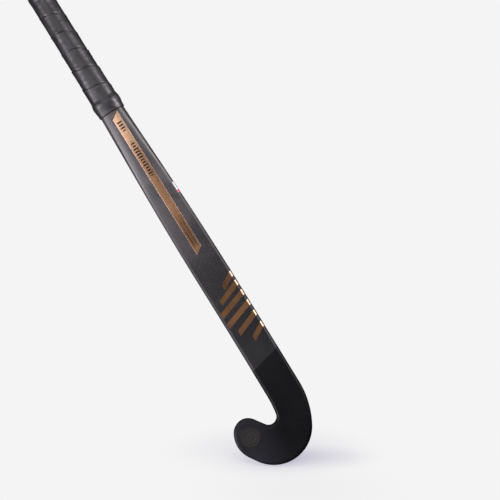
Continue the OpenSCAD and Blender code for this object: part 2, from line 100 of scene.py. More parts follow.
# Films: ends as heights, widths and places across, and how far a slanted end rises
FOIL_W = 11.6
FACE_BAND, FACE_BAND_X, FACE_BAND_RISE = (306, 517), 1.8, 8
WRAP_S, STRIPES, STRIPE_W = 33, 6, 8
STRIPE_LO, STRIPE_PITCH, STRIPE_RISE, STRIPE_START, STRIPE_SWELL = 170, 16, 18, 10, 30
BACK_STRIP, BACK_BAND, BACK_BAND_RISE = (196, 500), (226, 417), 9
LOZENGES, LOZENGE_LO, LOZENGE_PITCH, LOZENGE_LEN, LOZENGE_RISE = 7, 88, 15, 10, 5
LOZENGE_W = FOIL_W - 1
BAR_ROWS, BAR_LO, BAR_PITCH, BAR_LEN = 8, 463, 5.4, 3.6
BAR_ENDS = ((-4.6, -2.6), (0, 3.4))
BADGE_PLACES, BADGE_ENDS = (1 + 2 / 6, 2), (-8.5, 3.5)
LABEL, TAB, LABEL_ENDS = (390.6, 403), (386.5, 390.4), (19.5, 32)
LABEL_MARGIN, LINE_PITCH = 1.5, 3.1
TOUCH_P, TOUCH_RISE = 133, 12
DISC_AT, DISC_R, DISC_TOP = (-71.5, 55.5), 13.4, 0.3

HALF_W = BLADE_W / 2
CAP_P = STICK_LEN - CAP_LEN
BOW_R = (BOW_END - BOW_START) / math.radians(BOW_ANGLE)


def ease(v, lo, hi):
    """0 below lo, 1 above hi, with a smooth rise between them."""
    return (1 - np.cos(np.pi * np.clip((v - lo) / (hi - lo), 0, 1))) / 2


def mix(a, b, t):
    return a + (b - a) * t


def bend(flat):
    """Points (x, p, q) of the flat layout, at their place in the stick's frame."""
    x, p, q = np.moveaxis(np.asarray(flat, float), -1, 0)
    turn = np.radians(BOW_ANGLE) * np.clip((BOW_END - p) / (BOW_END - BOW_START), 0, 1)
    below, above = np.maximum(0, BOW_START - p), np.maximum(0, p - BOW_END)
    y = -BOW_R * (1 - np.cos(turn)) - below * np.sin(turn) + q * np.cos(turn)
    z = (BOW_END - STICK_LEN + above - BOW_R * np.sin(turn) - below * np.cos(turn)
         - q * np.sin(turn))
    return np.stack([x, y, z], -1)


def blend_r(d, h, r):
    """Radius of the arc that touches a straight edge and holds a circle of radius r."""
    return (d * d + h * h - r * r) / (2 * (d - r))


def angle_to(a, b):
    return math.degrees(math.atan2(b[1] - a[1], b[0] - a[0]))


def arc_point(c, r, angle):
    return np.array([c[0] + r * math.cos(math.radians(angle)),
                     c[1] + r * math.sin(math.radians(angle))])


HEEL_R = blend_r(HALF_W - HOOK_C[0], HEEL_P - HOOK_C[1], HOOK_R)
HEEL_C = (HALF_W - HEEL_R, HEEL_P)
HEEL_TURN = angle_to(HEEL_C, HOOK_C)
FILLET_R = blend_r(-HALF_W - NOTCH_C[0], NOTCH_TOP - NOTCH_C[1], NOTCH_R)
FILLET_C = (-HALF_W - FILLET_R, NOTCH_TOP)
FILLET_TURN = angle_to(FILLET_C, NOTCH_C)
SIDE_R = blend_r(TOE_C[0] + TOE_REACH, TOE_C[1] - SIDE_P, TOE_R)
SIDE_C = (-TOE_REACH + SIDE_R, SIDE_P)
SIDE_TURN = angle_to(SIDE_C, TOE_C)
SIDE_END = angle_to(HOOK_C, SIDE_C) + math.degrees(
    math.acos((HOOK_R - SIDE_R) / math.dist(SIDE_C, HOOK_C)))
TOE_LINE = angle_to(TOE_C, NOTCH_C) + math.degrees(
    math.acos((TOE_R + NOTCH_R) / math.dist(NOTCH_C, TOE_C)))


def outer_edge(t):
    """The head's outer edge, from the toe's tip (t = 0) to the top of the heel (t = 5)."""
    if t < 1:
        return arc_point(TOE_C, TOE_R, mix(TIP_TURN, SIDE_TURN, t))
    if t < 1 + SIDE_SHARE:
        return arc_point(SIDE_C, SIDE_R, mix(SIDE_TURN, SIDE_END, (t - 1) / SIDE_SHARE))
    if t < 2:
        return mix(arc_point(SIDE_C, SIDE_R, SIDE_END), arc_point(HOOK_C, HOOK_R, SIDE_END),
                   (t - 1 - SIDE_SHARE) / (1 - SIDE_SHARE))
    if t < 3:
        return arc_point(HOOK_C, HOOK_R, mix(SIDE_END, 270, t - 2))
    if t < 4:
        return arc_point(HOOK_C, HOOK_R, mix(270, 360 + HEEL_TURN, t - 3))
    return arc_point(HEEL_C, HEEL_R, mix(HEEL_TURN, 0, t - 4))


def inner_edge(t):
    """The head's inner edge, from the toe's tip (t = 0) through the notch to the shaft."""
    if t < 1:
        return arc_point(TOE_C, TOE_R, mix(TIP_TURN, TOE_LINE, t))
    if t < 2:
        return mix(arc_point(TOE_C, TOE_R, TOE_LINE),
                   arc_point(NOTCH_C, NOTCH_R, TOE_LINE + 180), t - 1)
    if t < 3:
        return arc_point(NOTCH_C, NOTCH_R, mix(TOE_LINE + 180, 270, t - 2))
    if t < 4:
        return arc_point(NOTCH_C, NOTCH_R, mix(270, 360 + FILLET_TURN, t - 3))
    return arc_point(FILLET_C, FILLET_R, mix(FILLET_TURN, 0, t - 4))


# ---- Sections -----------------------------------------------------------------------------------

Station = namedtuple("Station", "mid axis half face back dome handle crown")


def round_over(d, r):
    """Height of a quarter-round edge of radius r at distance d in from its side."""
    return r if d >= r else math.sqrt(r * r - (r - d) ** 2)


def head_station(t):
    a, b = outer_edge(t), inner_edge(t)
    half, depth = np.linalg.norm(a - b) / 2, HEAD_T / 2
    tip = (TOE_R * (1 - math.cos(math.radians((SIDE_TURN - TIP_TURN) * min(1, t))))
           + TOE_R * max(0, t - 1))
    return Station((a + b) / 2, (a - b) / (2 * half), half,
                   depth - EDGE_R + round_over(tip, EDGE_R), round_over(tip, depth + 1) - 1,
                   1 - (1 - DOME_JOIN) * ease(t, 4, 5), 0, 0)


def shaft_station(p):
    half_t = (HEAD_T + (SHAFT_T - HEAD_T) * ease(p, BOW_START, BOW_END)
              + (HANDLE_T - SHAFT_T) * ease(p, *THICKEN)) / 2
    return Station(np.array([0.0, p]), np.array([1.0, 0.0]),
                   HALF_W + (HANDLE_W - BLADE_W) / 2 * ease(p, *TAPER), half_t, half_t,
                   DOME_JOIN * (1 - ease(p, *DOME)), ease(p, *THICKEN),
                   CROWN * ease(p, *CROWNED))


def place_station(w):
    """Station at place w: up to 5 on the head, then the height on the shaft."""
    return head_station(w) if w <= 5 else shaft_station(w)


def unit(v):
    return v / np.linalg.norm(v)


def rounded(a, b, c, r, steps):
    """Corner b between its neighbours a and c, rounded with radius r."""
    u, v = unit(a - b), unit(c - b)
    half = math.acos(u @ v) / 2
    centre = b + unit(u + v) * r / math.sin(half)
    first = b + u * r / math.tan(half) - centre
    turns = math.atan2(first[1], first[0]) + (math.pi - 2 * half) * np.arange(steps + 1) / steps
    return centre + r * np.stack([np.cos(turns), np.sin(turns)], 1)


# Points across the face, each corner, the side, the bevel and the middle of the back
FACE_STEPS, CORNER_STEPS, SIDE_STEPS, BEVEL_STEPS, BACK_STEPS = 12, 7, 3, 7, 3


def sized(sizes, s):
    """A size of section s, from its values with a faceted back, a domed back and on the handle."""
    return mix(mix(sizes[0], sizes[1], s.dome), sizes[2], s.handle)


def half_ring(s, grow=0.0):
    """Half a section as (x, q), from the middle of the face round the heel to the back."""
    side = min(s.back - LEAST_BACK, sized(SIDES, s))
    crease = min(mix(FOIL_W / 2, HANDLE_W / 5, s.handle), s.half * CREASE_SHARE)
    slope = math.atan2(s.half - crease, s.back - side)

    def fit(r):
        return max(LEAST_R, min(1, s.half / FULL_R_HALF) * min(r, s.half * CORNER_SHARE) + grow)

    half, face, back = s.half + grow, s.face + grow, s.back + grow
    side += grow * math.tan(slope / 2)
    crease += grow * math.tan((math.pi / 2 - slope) / 2)
    c = [np.array(v, float) for v in
         [(-half, -face), (half, -face), (half, side), (crease, back), (-crease, back)]]
    rim = rounded(c[0], c[1], c[2], fit(mix(EDGE_R, RIM_R, s.handle)), CORNER_STEPS)
    flank = rounded(c[1], c[2], c[3], fit(sized(FLANK_RADII, s)), CORNER_STEPS)
    ridge = rounded(c[2], c[3], c[4], fit(sized(RIDGE_RADII, s)), CORNER_STEPS)
    middle = [np.array([0.0, -face]), np.array([0.0, back])]
    ring = np.concatenate([
        straight(middle[0], rim[0], FACE_STEPS), rim, straight(rim[-1], flank[0], SIDE_STEPS)[1:],
        flank, straight(flank[-1], ridge[0], BEVEL_STEPS)[1:], ridge,
        straight(ridge[-1], middle[1], BACK_STEPS)[1:], middle[1:]])
    down = np.sin(np.pi / 2 * np.clip(-ring[:, 1] / s.face, 0, 1))
    ring[:, 1] += s.crown * np.minimum(1, (ring[:, 0] / s.half) ** 2) * down
    return ring


def straight(a, b, steps):
    """Points from a to just before b."""
    return a + (b - a) * (np.arange(steps) / steps)[:, None]


def full_ring(s, grow=0.0):
    """The whole section, from the middle of the face round the heel, the back and the toe."""
    half = half_ring(s, grow)
    return np.concatenate([half, half[-2:0:-1] * (-1, 1)])


def laid(s, ring):
    """Points (x, q) of section s, as (x, p, q) of the flat layout."""
    flat = s.mid + ring[:, :1] * s.axis
    return np.column_stack([flat, ring[:, 1]])


# ---- Materials ----------------------------------------------------------------------------------

class Shader:
    """A node material with one Principled surface, built by short calls."""

    def __init__(self, name, roughness=0.5, metallic=0.0, coat=0.0, coat_roughness=0.1,
                 specular=0.5):
        self.material = bpy.data.materials.new(name)
        self.material.use_nodes = True
        self.tree = self.material.node_tree
        self.surface = self.tree.nodes["Principled BSDF"]
        for label, value in (("Roughness", roughness), ("Metallic", metallic),
                             ("Coat Weight", coat), ("Coat Roughness", coat_roughness),
                             ("Specular IOR Level", specular)):
            self.surface.inputs[label].default_value = value
        self.place = self.node("ShaderNodeTexCoord").outputs["Object"]

    def node(self, kind, **settings):
        made = self.tree.nodes.new(kind)
        for key, value in settings.items():
            setattr(made, key, value)
        return made

    def put(self, socket, value):
        if isinstance(value, bpy.types.NodeSocket):
            self.tree.links.new(value, socket)
        elif hasattr(socket.default_value, "__len__"):
            socket.default_value = (*value, 1)[:len(socket.default_value)]
        else:
            socket.default_value = value

    def math(self, operation, a, b=0.0):
        made = self.node("ShaderNodeMath", operation=operation)
        self.put(made.inputs[0], a)
        self.put(made.inputs[1], b)
        return made.outputs[0]

    def add(self, a, b):
        return self.math("ADD", a, b)

    def minus(self, a, b):
        return self.math("SUBTRACT", a, b)

    def times(self, a, b):
        return self.math("MULTIPLY", a, b)

    def absolute(self, a):
        return self.math("ABSOLUTE", a)

    def vectors(self, operation, *values):
        """The outputs of a vector operation."""
        made = self.node("ShaderNodeVectorMath", operation=operation)
        for socket, value in zip(made.inputs, values):
            self.put(socket, value)
        return made.outputs

    def length(self, vector):
        return self.vectors("LENGTH", vector)["Value"]

    def parts(self, vector):
        """The x, y and z of a vector."""
        made = self.node("ShaderNodeSeparateXYZ")
        self.put(made.inputs[0], vector)
        return made.outputs

    def attribute(self, name):
        """The x, y and z of a point attribute."""
        source = self.node("ShaderNodeAttribute", attribute_name=name)
        return self.parts(source.outputs["Vector"])

    def vector(self, x, y, z):
        made = self.node("ShaderNodeCombineXYZ")
        for socket, value in zip(made.inputs, (x, y, z)):
            self.put(socket, value)
        return made.outputs[0]

    def span(self, value, lo, hi, out_lo=0.0, out_hi=1.0, smooth=True):
        """value taken from lo..hi to out_lo..out_hi, held at both ends."""
        made = self.node("ShaderNodeMapRange", clamp=True,
                         interpolation_type="SMOOTHSTEP" if smooth else "LINEAR")
        for socket, v in zip(made.inputs, (value, lo, hi, out_lo, out_hi)):
            self.put(socket, v)
        return made.outputs[0]

    def vary(self, noise, out_lo, out_hi):
        """A noise's usual range, taken to out_lo..out_hi."""
        return self.span(noise, 0.3, 0.7, out_lo, out_hi)

    def within(self, value, lo, hi, soft):
        """1 between lo and hi, with edges soft wide."""
        return self.times(self.span(value, lo - soft, lo + soft),
                          self.span(value, hi - soft, hi + soft, 1, 0))

    def noise(self, scale, detail=2.0, rough=0.5, distortion=0.0, at=None, output="Fac"):
        made = self.node("ShaderNodeTexNoise")
        self.put(made.inputs["Vector"], at or self.place)
        for label, value in (("Scale", scale), ("Detail", detail), ("Roughness", rough),
                             ("Distortion", distortion)):
            self.put(made.inputs[label], value)
        return made.outputs[output]

    def cells(self, scale, at=None, output="Distance"):
        made = self.node("ShaderNodeTexVoronoi")
        self.put(made.inputs["Vector"], at or self.place)
        self.put(made.inputs["Scale"], scale)
        return made.outputs[output]

    def blend(self, share, a, b, kind="MIX"):
        """Colour a at share 0 and b at share 1."""
        made = self.node("ShaderNodeMix", data_type="RGBA", blend_type=kind)
        for socket, value in zip((made.inputs[0], made.inputs[6], made.inputs[7]), (share, a, b)):
            self.put(socket, value)
        return made.outputs[2]

    def shade(self, colour, factor):
        """The colour times a factor."""
        return self.blend(1.0, colour, self.vector(factor, factor, factor), "MULTIPLY")

    def colour(self, value):
        self.put(self.surface.inputs["Base Color"], value)

    def roughness(self, value):
        self.put(self.surface.inputs["Roughness"], value)

    def bump(self, height, depth):
        """Bump of depth metres at height 1."""
        made = self.node("ShaderNodeBump")
        self.put(made.inputs["Height"], height)
        self.put(made.inputs["Distance"], depth)
        self.put(self.surface.inputs["Normal"], made.outputs[0])


def flakes(m, scale):
    """Chopped carbon: a random value for each flat chip."""
    bent = m.vectors("MULTIPLY_ADD", m.noise(55, 2, output="Color"), (0.012,) * 3, m.place)
    return m.parts(m.cells(scale, bent[0], output="Color"))[0]


def dimples(m, across, up, pitch_x, pitch_p):
    """Staggered diamond dimples: 1 between them, 0 in their middles."""
    u = m.times(across, 2 * math.pi / pitch_x)
    v = m.times(up, 2 * math.pi / pitch_p)
    a = m.math("SINE", m.add(u, v))
    b = m.math("SINE", m.minus(u, v))
    return m.span(m.times(a, b), -0.9, 0.9)


def laminate():
    m = Shader("laminate", coat=0.1, coat_roughness=0.32, specular=0.4)
    x, p, q = m.attribute("flat")
    run, half, _ = m.attribute("around")
    reach = m.absolute(run)
    on_face = m.span(reach, m.minus(half, 3.0), half, 1, 0)
    on_back = m.span(q, -3, 3)
    up = m.span(p, 150, 470)
    chip = flakes(m, 75)
    smoke = m.noise(14, 5, 0.6, 0.8)
    dark = m.blend(on_back, (0.0022, 0.0022, 0.0032), (0.018, 0.014, 0.012))
    light = m.blend(on_back, (0.043, 0.040, 0.0415), (0.048, 0.044, 0.045))
    base = m.shade(m.blend(up, dark, light), m.span(smoke, 0.38, 0.68, 0.72, 1.35))
    chip_shade = m.span(chip, 0, 1, 0.6, 1.5, smooth=False)
    base = m.blend(m.span(on_face, 0, 1, 0.6, 0.1), base, m.shade(base, chip_shade))
    m.colour(base)
    rough = m.add(m.span(p, 150, 420, 0.32, 0.36), m.vary(smoke, -0.04, 0.05))
    chipped = m.times(m.span(chip, 0, 1, -0.05, 0.05), m.minus(1.0, on_face))
    satin = m.times(on_back, m.span(p, 150, 330, 0.15, 0.0))
    rim = m.span(reach, m.minus(half, 5.0), m.minus(half, 1.5))
    soft = m.times(m.times(rim, m.span(p, 340, 460, 0.34, 0.0)), m.minus(1.0, on_back))
    m.roughness(m.add(m.add(rough, chipped), m.add(satin, soft)))
    weave = m.times(dimples(m, x, p, 7.4, 6.8), m.times(m.within(p, 182, 316, 24), on_face))
    m.bump(weave, 0.00012)
    return m.material


def touch_zone():
    m = Shader("touch_zone", roughness=0.4, specular=0.1)
    grain = m.noise(1500, 3, 0.7)
    speck = m.cells(900)
    cloud = m.noise(18, 4, 0.6)
    x, _, _ = m.attribute("flat")
    base = m.blend(m.span(speck, 0.1, 0.5), (0.0030, 0.0030, 0.0038), (0.0018, 0.0018, 0.0024))
    # Painted light: the toe side is lightened, up to 4.8 times at x = -80 and fading out by x =
    # -20, standing for light falling on the toe.
    base = m.shade(base, m.span(x, -80, -20, 4.8, 1.0))
    m.colour(m.shade(base, m.span(cloud, 0.35, 0.7, 0.85, 1.25)))
    m.roughness(m.add(m.vary(grain, 0.36, 0.44), m.vary(cloud, -0.03, 0.03)))
    m.bump(m.add(grain, m.times(speck, 0.6)), 0.00001)
    return m.material


def dashes(m, along, across, pitch, width, seed):
    """Print that stands for lettering: dark dashes of uneven height across a strip."""
    row = m.math("FLOOR", m.times(along, 1 / pitch))
    place = m.math("FRACT", m.times(along, 1 / pitch))
    height = m.noise(1.0, 0, at=m.vector(m.times(row, 0.73), seed, 0.0))
    tall = m.span(height, 0.35, 0.65, width * 0.55, width, smooth=False)
    inside = m.span(m.absolute(across), m.minus(tall, 0.3), tall, 1, 0)
    return m.times(inside, m.within(place, 0.14, 0.72, 0.05))


def copper_foil():
    m = Shader("copper_foil", roughness=0.34, metallic=1.0, coat=0.2, coat_roughness=0.2)
    _, p, q = m.attribute("flat")
    place, run, _ = m.attribute("around")
    cloud = m.noise(20, 4, 0.55)
    # Tone by height: the stripes below p 280 are darker; up the band the tone lightens towards its
    # top, a painted lightening that stands for the brighter reflections on the upper stick.
    tone = m.blend(m.span(p, 280, 310), (0.175, 0.090, 0.042), (0.285, 0.155, 0.083))
    tone = m.blend(m.span(p, 320, 420), tone, (0.30, 0.172, 0.092))
    tone = m.blend(m.span(p, 430, 520), tone, (0.46, 0.30, 0.18))
    # Painted highlight: where the stripes wrap round the heel's corner (run 19 to 22 mm) the tone
    # turns pale pinkish, standing for the glints caught there.
    tone = m.blend(m.span(run, 19, 22), tone, (0.34, 0.22, 0.155))
    tone = m.shade(tone, m.vary(cloud, 0.92, 1.1))
    on_face = m.span(q, -3, 3, 1, 0)
    across = m.add(run, -FACE_BAND_X)
    big = m.times(m.within(p, 424, 477, 0.6), dashes(m, p, across, 4.1, 3.9, 2.0))
    wide = m.times(m.within(p, 493, 508, 0.6), dashes(m, p, across, 4.1, 3.9, 6.0))
    lines = m.minus(m.absolute(across), 2.0)
    small = m.times(m.within(p, 314, 352, 0.6), dashes(m, p, lines, 2.7, 1.4, 11.0))
    print_ = m.math("MAXIMUM", m.math("MAXIMUM", big, wide), m.times(small, 0.8))
    tone = m.blend(m.times(m.times(print_, on_face), 0.9), tone, (0.012, 0.010, 0.010))
    # Painted highlight: a thin pale outline along the long edges of the face band, standing for
    # light caught on the foil's edges.
    edge = m.times(m.span(m.absolute(across), FOIL_W / 2 - 0.7, FOIL_W / 2 - 0.3),
                   m.within(p, 302, 525, 1))
    m.colour(m.blend(m.times(edge, on_face), tone, (0.72, 0.50, 0.42)))
    m.roughness(m.vary(cloud, 0.30, 0.40))
    return m.material


def copper_print():
    """Print on the back: copper lozenges with a darker middle, and the small marks."""
    m = Shader("copper_print", roughness=0.42, metallic=1.0)
    place, run, _ = m.attribute("around")
    level = m.add(m.add(place, -LOZENGE_LO), m.times(run, -LOZENGE_RISE / LOZENGE_W))
    level = m.times(m.math("FRACT", m.times(level, 1 / LOZENGE_PITCH)), LOZENGE_PITCH)
    inside = m.times(m.within(level, 1.2, LOZENGE_LEN - 1.2, 0.2),
                     m.span(m.absolute(run), 4.0, 4.3, 1, 0))
    top = LOZENGE_LO + LOZENGE_PITCH * LOZENGES
    middle = m.times(inside, m.within(place, LOZENGE_LO - 5, top + 1, 1))
    bars = m.within(m.math("FRACT", m.times(m.add(place, -1.33), 6)), 0.55, 0.95, 0.05)
    middle = m.math("MAXIMUM", middle, m.times(bars, m.within(place, 1, 2.2, 0.1)))
    cloud = m.noise(60, 4, 0.6)
    tone = m.blend(middle, (0.66, 0.40, 0.29), (0.13, 0.08, 0.06))
    m.colour(m.shade(tone, m.vary(cloud, 0.85, 1.15)))
    m.roughness(m.vary(cloud, 0.38, 0.50))
    return m.material


def strip_film():
    m = Shader("strip_film", roughness=0.4, coat=0.2, coat_roughness=0.2)
    cloud = m.noise(35, 5, 0.6, 0.6)
    chip = flakes(m, 90)
    m.colour(m.shade((0.020, 0.020, 0.023), m.add(m.span(cloud, 0.35, 0.7, 0.7, 1.3),
                                                 m.span(chip, 0, 1, -0.15, 0.2))))
    m.roughness(m.vary(cloud, 0.34, 0.46))
    m.bump(m.noise(1200, 2), 0.00002)
    return m.material


def dark_badge():
    m = Shader("dark_badge", roughness=0.45, specular=0.2)
    x, p, _ = m.attribute("flat")
    r = m.length(m.vector(m.add(x, -DISC_AT[0]), m.add(p, -DISC_AT[1]), 0.0))
    hatch = m.math("SINE", m.times(m.add(x, p), 4.2))
    inner = m.span(r, 9.2, 9.5, 1, 0)
    ring = m.within(r, 10.6, 13.2, 0.1)
    tone = m.blend(m.times(inner, m.span(hatch, -0.2, 0.2)), (0.006, 0.006, 0.0065),
                   (0.016, 0.0135, 0.012))
    m.colour(m.blend(m.times(ring, 0.6), tone, (0.014, 0.012, 0.0105)))
    m.roughness(m.vary(m.noise(400, 3), 0.38, 0.52))
    m.bump(m.add(m.noise(900, 2), m.times(inner, m.times(hatch, 0.5))), 0.00003)
    return m.material


def rubbery(name, tone, roughness, grain_scale, depth, specular=0.4):
    """Soft black rubber or PU with a fine grain and patches of wear."""
    m = Shader(name, roughness=roughness, specular=specular)
    grain = m.cells(grain_scale)
    wear = m.noise(28, 4, 0.6, 0.4)
    m.colour(m.shade(tone, m.add(m.span(wear, 0.35, 0.7, 0.82, 1.2),
                                 m.span(grain, 0.2, 0.6, -0.05, 0.05))))
    m.roughness(m.vary(wear, roughness + 0.05, roughness - 0.06))
    m.bump(grain, depth)
    return m


def tape(name, tone, roughness, swell):
    """Smooth wound tape: a soft sheen broken up by shallow dents."""
    m = Shader(name, roughness=roughness, specular=0.5)
    dents = m.noise(70, 1, 0.4)
    wear = m.noise(36, 3, 0.6, 0.4)
    m.roughness(m.add(m.vary(wear, roughness + 0.05, roughness - 0.05),
                      m.vary(dents, 0.05, -0.05)))
    m.bump(dents, swell)
    return m, m.shade(tone, m.span(wear, 0.35, 0.7, 0.8, 1.25))


def grip_tape():
    m, tone = tape("grip_tape", (0.0100, 0.0093, 0.0115), 0.43, 0.0008)
    t, _, _ = m.attribute("around")
    # Painted shade: the tape is darkened to a quarter of its tone along each seam, standing for the
    # shadow in the groove under the overlapping lip.
    seam = m.math("MAXIMUM", m.span(t, 0.95, 0.98), m.span(t, 0.0, 0.035, 1, 0))
    m.colour(m.shade(tone, m.span(seam, 0, 1, 1.0, 0.25)))
    return m.material


def band_tape():
    m, tone = tape("band_tape", (0.0105, 0.0098, 0.0120), 0.46, 0.0008)
    m.colour(tone)
    return m.material


def printed(name, ground, ink, lines):
    """A printed label: plain ground with generic bars."""
    m = Shader(name, roughness=0.4, coat=0.3)
    _, p, _ = m.attribute("flat")
    run, place, _ = m.attribute("around")
    keep = 0.0
    if lines:
        bars = m.span(m.math("SINE", m.times(run, 2 * math.pi / LINE_PITCH)), 0.3, 0.6)
        keep = m.times(bars, m.within(place, LABEL_ENDS[0] + LABEL_MARGIN,
                                      LABEL_ENDS[1] - LABEL_MARGIN, 0.3))
    m.colour(m.shade(m.blend(keep, ground, ink), m.vary(m.noise(160, 3), 0.93, 1.04)))
    m.roughness(m.vary(m.noise(500, 2), 0.32, 0.46))
    m.bump(m.noise(700, 2), 0.00002)
    return m.material


def fibrous(name, tone, roughness, weave_pitch):
    """Laminated cloth seen inside the stick: a two-way weave with resin over it."""
    m = Shader(name, roughness=roughness, coat=0.2)
    x, _, z = m.parts(m.place)
    a = m.math("SINE", m.times(m.add(x, z), 2 * math.pi / weave_pitch))
    b = m.math("SINE", m.times(m.minus(x, z), 2 * math.pi / weave_pitch))
    weave = m.span(m.times(a, b), -0.6, 0.6)
    m.colour(m.shade(tone, m.add(m.span(weave, 0, 1, 0.7, 1.2),
                                 m.vary(m.noise(60, 4), -0.1, 0.1))))
    m.roughness(m.span(weave, 0, 1, roughness + 0.08, roughness - 0.05))
    m.bump(weave, 0.0001)
    return m.material


def foamed(name, tone, cell_scale):
    """Foam with small open cells, with painted shade darkening their pits."""
    m = Shader(name, roughness=0.9, specular=0.2)
    cell = m.cells(cell_scale)
    # Painted shade: the tone drops to 0.55 in the pits of the cells, where the bump is lowest.
    m.colour(m.shade(tone, m.span(cell, 0.0, 0.6, 0.55, 1.1)))
    m.roughness(m.vary(m.noise(80, 3), 0.85, 0.97))
    m.bump(cell, 0.0004)
    return m.material


MATERIALS = {
    "laminate": laminate(),
    "touch_film": touch_zone(),
    "copper_foil": copper_foil(),
    "copper_print": copper_print(),
    "strip_film": strip_film(),
    "dark_badge": dark_badge(),
    "grip_tape": grip_tape(),
    "band_tape": band_tape(),
    "cap_rubber": rubbery("cap_rubber", (0.012, 0.012, 0.013), 0.5, 700, 0.00003).material,
    "plug_plastic": rubbery("plug_plastic", (0.16, 0.16, 0.17), 0.4, 300, 0.00004).material,
    "grip_liner": rubbery("grip_liner", (0.45, 0.44, 0.40), 0.7, 400, 0.00006).material,
    "label_white": printed("label_white", (0.62, 0.64, 0.70), (0.10, 0.11, 0.16), True),
    "label_red": printed("label_red", (0.55, 0.012, 0.06), (0.3, 0.01, 0.03), False),
    "inner_laminate": fibrous("inner_laminate", (0.035, 0.035, 0.04), 0.4, 0.004),
    "damping_foam": foamed("damping_foam", (0.75, 0.70, 0.52), 700),
    "core_foam": foamed("core_foam", (0.62, 0.52, 0.30), 450),
}


# ---- Meshes -------------------------------------------------------------------------------------

def grid_faces(rows, cols, first=0, flip=False):
    """Quads of a grid of rows x cols points; flip turns them over."""
    a = (first + np.arange(rows - 1)[:, None] * cols + np.arange(cols - 1)).ravel()
    quads = np.stack([a, a + 1, a + cols + 1, a + cols], 1)
    return (quads[:, ::-1] if flip else quads).tolist()


def tube_faces(rows, cols, first=0, flip=False):
    """Quads of a grid whose last column joins its first."""
    i, j = np.arange(rows - 1)[:, None] * cols + first, np.arange(cols)
    k = (j + 1) % cols
    quads = np.stack([(i + j), (i + k), (i + cols + k), (i + cols + j)], -1).reshape(-1, 4)
    return (quads[:, ::-1] if flip else quads).tolist()


def added(name, data):
    """A new object in the scene."""
    obj = bpy.data.objects.new(name, data)
    bpy.context.scene.collection.objects.link(obj)
    return obj


def piece(name, points, faces, slot, stands_for, flat=None, round_=None, sharp=40):
    """A piece from points in mm, which rides on the root and stands for a CAD node."""
    mesh = bpy.data.meshes.new(name)
    mesh.from_pydata((np.asarray(points) * MM).tolist(), [], faces)
    for label, values in (("flat", flat), ("around", round_)):
        if values is not None:
            data = mesh.attributes.new(label, "FLOAT_VECTOR", "POINT").data
            data.foreach_set("vector", np.asarray(values, np.float32).ravel())
    mesh.shade_smooth()
    mesh.set_sharp_from_angle(angle=math.radians(sharp))
    mesh.materials.append(MATERIALS[slot])
    obj = added(name, mesh)
    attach(obj, "root")
    if stands_for:
        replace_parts(obj, *stands_for)
    return obj


def lay_row(s, ring, height=0.0):
    """A section's points in the flat layout, with height (one value each) added outwards."""
    if np.any(height):
        ahead, behind = np.roll(ring, -1, 0), np.roll(ring, 1, 0)
        way = ahead - behind
        normal = np.column_stack([way[:, 1], -way[:, 0]])
        normal /= np.linalg.norm(normal, axis=1)[:, None]
        ring = ring + normal * np.asarray(height)[:, None]
    return laid(s, ring)


def measure_round(ring):
    """Distance round a full section from the middle of its face: positive on the heel side."""
    half = len(ring) // 2
    steps = np.linalg.norm(np.diff(ring[:half + 1], axis=0), axis=1)
    run = np.concatenate([[0], np.cumsum(steps)])
    return np.concatenate([run, -run[-2:0:-1]])


# ---- The skin: shaft and head -------------------------------------------------------------------

# Fine ribs of the tape under the band, between these heights, and where the head's rows end
RIB_PITCH, RIB_HEIGHT = 3.0, 0.045
RIBS = (452, 526)
BLADE_LO = HEEL_P + 8


def skin_places():
    """Places of the skin's rows: 0 to 5 on the head, then heights on the shaft."""
    toe = 1 - np.cos(np.linspace(0.12, np.pi / 2, 30))
    head = np.concatenate([toe, np.linspace(1, 5, 100)[1:]])
    return np.concatenate([head, np.linspace(BLADE_LO, RIBS[0], 170),
                           np.arange(RIBS[0] + 0.5, RIBS[1], 0.5),
                           np.linspace(RIBS[1] + 1, CAP_P, 40)])


def rib_height(p):
    fade = ease(p, *RIBS) * (p < RIBS[1])
    return RIB_HEIGHT * fade * math.cos(2 * math.pi * p / RIB_PITCH)


def build_skin():
    flats, rounds = [], []
    for w in skin_places():
        s = place_station(w)
        ring = full_ring(s)
        height = (rib_height(w) if w > 5 else 0.0) * ease(ring[:, 1] / s.back, -0.2, 0.4)
        flats.append(lay_row(s, ring, height))
        run = measure_round(full_ring(s))
        rounds.append(np.column_stack([run, np.full(len(ring), s.half), ring[:, 1] / s.back]))
    rows, cols = len(flats), len(flats[0])
    flat = np.concatenate(flats)
    faces = tube_faces(rows, cols)
    faces.append(list(range(cols))[::-1])
    faces.append([(rows - 1) * cols + j for j in range(cols)])
    return piece("skin", bend(flat), faces, "laminate", ["laminate_shell"], flat,
                 np.concatenate(rounds))


# ---- Films on the skin --------------------------------------------------------------------------

# How far films stand off the skin, or lie over the back's dark strip, and their thickness
FILM_LIFT, OVER_STRIP, FILM_T = 0.04, 0.15, 0.09


def skin_point(s, run, lift, back):
    """The flat-layout point on section s at distance run from the middle of its face or back."""
    base, out = half_ring(s), half_ring(s, lift)
    walked = np.concatenate([[0], np.cumsum(np.linalg.norm(np.diff(base, axis=0), axis=1))])
    at = walked[-1] - np.abs(run) if back else np.abs(run)
    x = np.interp(at, walked, out[:, 0]) * np.sign(run) * (-1 if back else 1)
    return laid(s, np.column_stack([x, np.interp(at, walked, out[:, 1])]))


